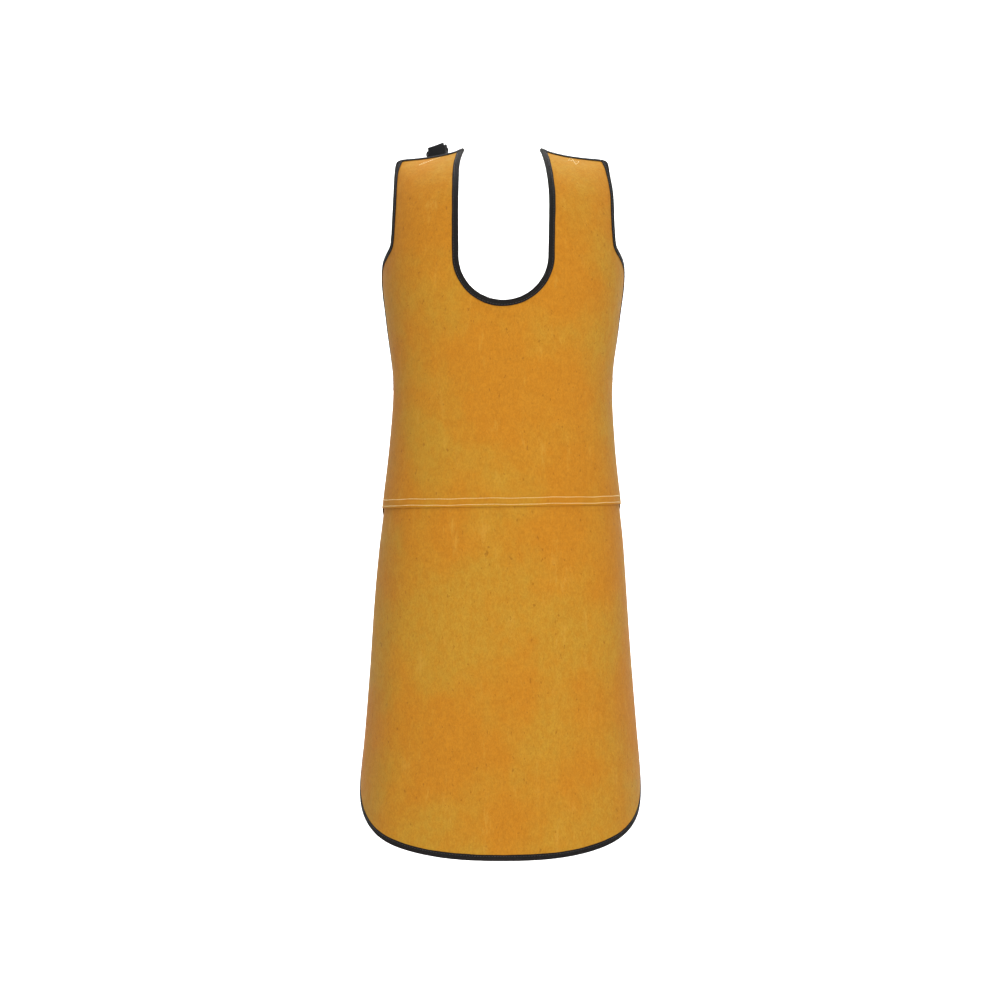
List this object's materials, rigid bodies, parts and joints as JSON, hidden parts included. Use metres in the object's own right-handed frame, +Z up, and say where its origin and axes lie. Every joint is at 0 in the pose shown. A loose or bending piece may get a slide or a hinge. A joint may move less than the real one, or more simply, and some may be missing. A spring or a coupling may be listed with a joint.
{
  "type": "welding apron",
  "caption": "Split-leather welding apron with bound edges, worn over both shoulders on webbing straps, with side-release buckles behind one shoulder and at the waist",
  "frame": {"origin": "Midway between the tops of the wearer's shoulders, level with the upper edge of the leather beside the neck", "axes": "+X to the wearer's left, +Y to the wearer's back, +Z up"},
  "size_m": [0.4148, 0.2369, 1.0326],
  "materials": {
    "leather": "golden yellow split cowhide, matt and brushed",
    "binding": "black woven binding tape",
    "webbing": "black polypropylene webbing, 25 mm",
    "thread": "yellow aramid sewing thread",
    "binding_thread": "black sewing thread",
    "buckle": "black moulded acetal"
  },
  "bodies": {
    "apron": {"bib_panel": "leather", "skirt_panel": "leather", "neck_binding": "binding", "edge_binding": "binding", "waist_thread_upper": "thread", "waist_thread_lower": "thread", "neck_thread": "binding_thread", "edge_thread": "binding_thread", "right_shoulder_thread": "thread", "left_shoulder_thread": "thread", "right_belt_thread": "binding_thread", "left_belt_thread": "binding_thread", "right_shoulder_tab": "webbing", "left_back_strap": "webbing", "right_back_strap": "webbing", "back_band": "webbing", "right_waist_strap": "webbing", "left_waist_strap": "webbing", "shoulder_buckle_socket": "buckle", "waist_buckle_socket": "buckle"},
    "shoulder_plug": {"shoulder_buckle_plug": "buckle"},
    "shoulder_prong_a": {"shoulder_buckle_prong_a": "buckle"},
    "shoulder_prong_b": {"shoulder_buckle_prong_b": "buckle"},
    "shoulder_keeper": {"shoulder_strap_keeper": "webbing"},
    "waist_plug": {"waist_buckle_plug": "buckle"},
    "waist_prong_a": {"waist_buckle_prong_a": "buckle"},
    "waist_prong_b": {"waist_buckle_prong_b": "buckle"},
    "waist_keeper": {"waist_strap_keeper": "webbing"}
  },
  "joints": [
    {"name": "shoulder_buckle_release", "type": "slide", "parent": "apron", "child": "shoulder_plug", "axis": [0.049, 0.9204, -0.3878], "range_m": [0, 0.022], "deforming": ["right_back_strap"]},
    {"name": "shoulder_prong_a_squeeze", "type": "hinge", "parent": "shoulder_plug", "child": "shoulder_prong_a", "pos_m": [-0.08487, 0.04454, -0.00413], "axis": [0.3918, -0.3749, -0.8402], "range_deg": [0, 24]},
    {"name": "shoulder_prong_b_squeeze", "type": "hinge", "parent": "shoulder_plug", "child": "shoulder_prong_b", "pos_m": [-0.10361, 0.04228, -0.01187], "axis": [-0.3918, 0.3749, 0.8402], "range_deg": [0, 24]},
    {"name": "shoulder_keeper_slide", "type": "slide", "parent": "shoulder_plug", "child": "shoulder_keeper", "axis": [-0.0539, 0.3897, -0.9193], "range_m": [-0.004, 0.012]},
    {"name": "waist_buckle_release", "type": "slide", "parent": "apron", "child": "waist_plug", "axis": [1, 0, 0], "range_m": [0, 0.022], "deforming": ["left_waist_strap"]},
    {"name": "waist_prong_a_squeeze", "type": "hinge", "parent": "waist_plug", "child": "waist_prong_a", "pos_m": [-0.0016, 0.08891, -0.32609], "axis": [0, -1, 0], "range_deg": [0, 24]},
    {"name": "waist_prong_b_squeeze", "type": "hinge", "parent": "waist_plug", "child": "waist_prong_b", "pos_m": [-0.0016, 0.08891, -0.34649], "axis": [0, 1, 0], "range_deg": [0, 24]},
    {"name": "waist_keeper_slide", "type": "slide", "parent": "waist_plug", "child": "waist_keeper", "axis": [0.9882, -0.153, -0.0017], "range_m": [-0.004, 0.012]}
  ],
  "couplings": [
    {"joint": "shoulder_prong_a_squeeze", "follows": "shoulder_buckle_release", "rad_per_m": 18},
    {"joint": "shoulder_prong_b_squeeze", "follows": "shoulder_buckle_release", "rad_per_m": 18},
    {"joint": "waist_prong_a_squeeze", "follows": "waist_buckle_release", "rad_per_m": 18},
    {"joint": "waist_prong_b_squeeze", "follows": "waist_buckle_release", "rad_per_m": 18}
  ]
}
